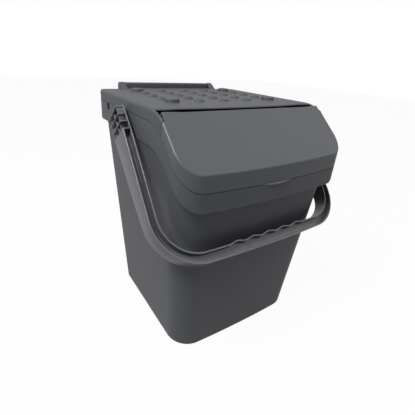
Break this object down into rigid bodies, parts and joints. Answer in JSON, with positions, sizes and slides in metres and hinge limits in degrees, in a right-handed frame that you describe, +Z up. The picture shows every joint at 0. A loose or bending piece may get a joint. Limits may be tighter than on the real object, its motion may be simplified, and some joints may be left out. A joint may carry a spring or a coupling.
{
  "type": "kitchen waste caddy",
  "caption": "Stackable waste caddy: drafted tub with a sloping collar, studded lid hinged at the back, lift-up front flap and a bail handle with finger waves.",
  "frame": {"origin": "on the floor, under the middle of the base", "axes": "+X to the right of someone who faces the front, the front looks along -Y, +Z up"},
  "size_m": [0.3738, 0.3681, 0.418],
  "materials": {
    "body_plastic": "satin, fine texture, anthracite",
    "lid_plastic": "satin, fine texture, anthracite",
    "flap_plastic": "satin, fine texture, anthracite",
    "handle_plastic": "satin, anthracite",
    "pin_plastic": "plain, anthracite"
  },
  "bodies": {
    "bin": {"bin_body": "body_plastic", "lid_hinge_rod": "pin_plastic", "handle_pin_left": "pin_plastic", "handle_pin_right": "pin_plastic"},
    "lid_unit": {"lid": "lid_plastic", "flap_pin_left": "pin_plastic", "flap_pin_right": "pin_plastic"},
    "flap": {"front_flap": "flap_plastic"},
    "bail": {"handle": "handle_plastic"}
  },
  "joints": [
    {"name": "lid_hinge", "type": "hinge", "parent": "bin", "child": "lid_unit", "pos_m": [0, 0.191, 0.409], "axis": [-1, 0, 0], "range_deg": [0, 240]},
    {"name": "flap_hinge", "type": "hinge", "parent": "lid_unit", "child": "flap", "pos_m": [0, -0.0835, 0.3968], "axis": [-1, 0, 0], "range_deg": [0, 100]},
    {"name": "handle_hinge", "type": "hinge", "parent": "bin", "child": "bail", "pos_m": [0, 0.032, 0.374], "axis": [-1, 0, 0], "range_deg": [0, 280]}
  ]
}
